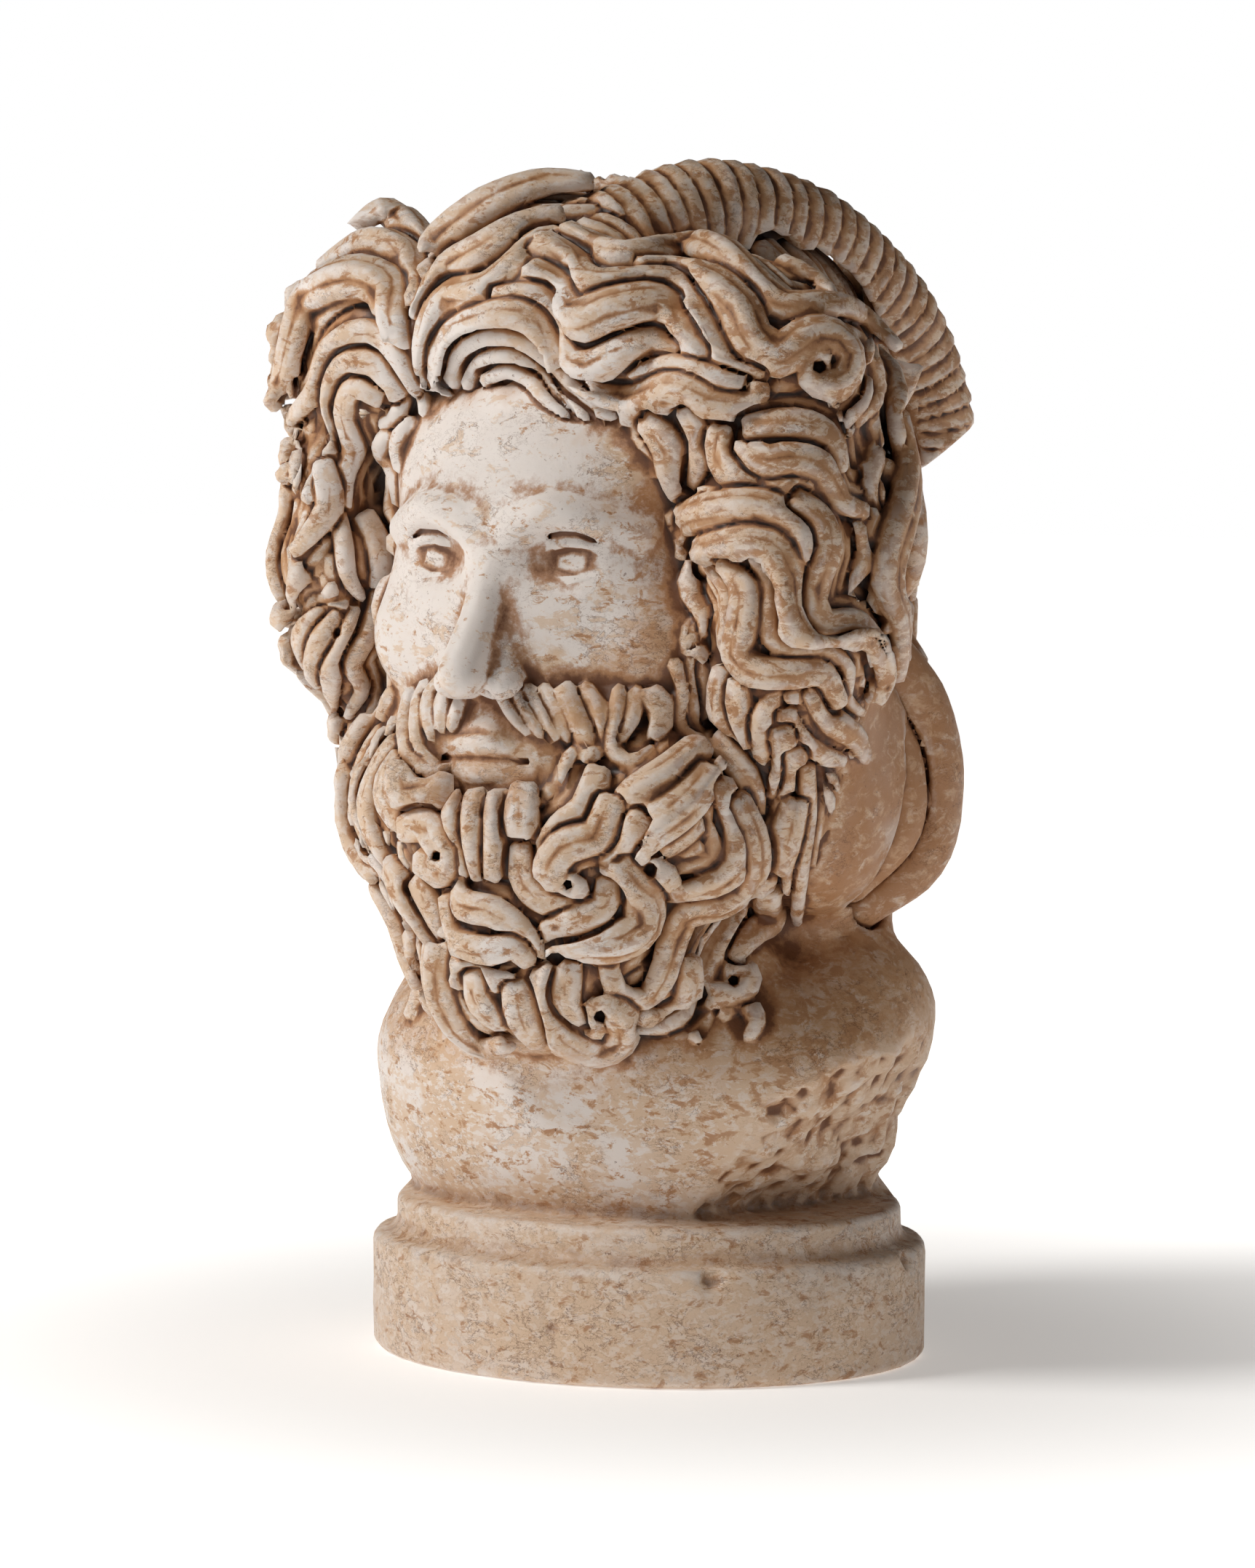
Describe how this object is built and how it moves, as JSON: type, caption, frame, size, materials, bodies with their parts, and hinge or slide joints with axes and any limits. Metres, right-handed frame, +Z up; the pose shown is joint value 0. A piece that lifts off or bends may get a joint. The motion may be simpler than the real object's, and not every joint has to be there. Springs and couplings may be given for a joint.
{
  "type": "marble bust of a bearded god",
  "caption": "Marble bust of a bearded, ram-horned god with long curling hair, broken at the left shoulder, carved with its oval stepped plinth.",
  "frame": {"origin": "centre of the plinth's flat underside", "axes": "+Z up, the face looks along -Y, the statue's left is +X"},
  "size_m": [0.3087, 0.2711, 0.4998],
  "materials": {
    "marble": "honed, worn, with brown patina in the carving"
  },
  "bodies": {
    "root": {"bust": "marble"}
  },
  "joints": []
}
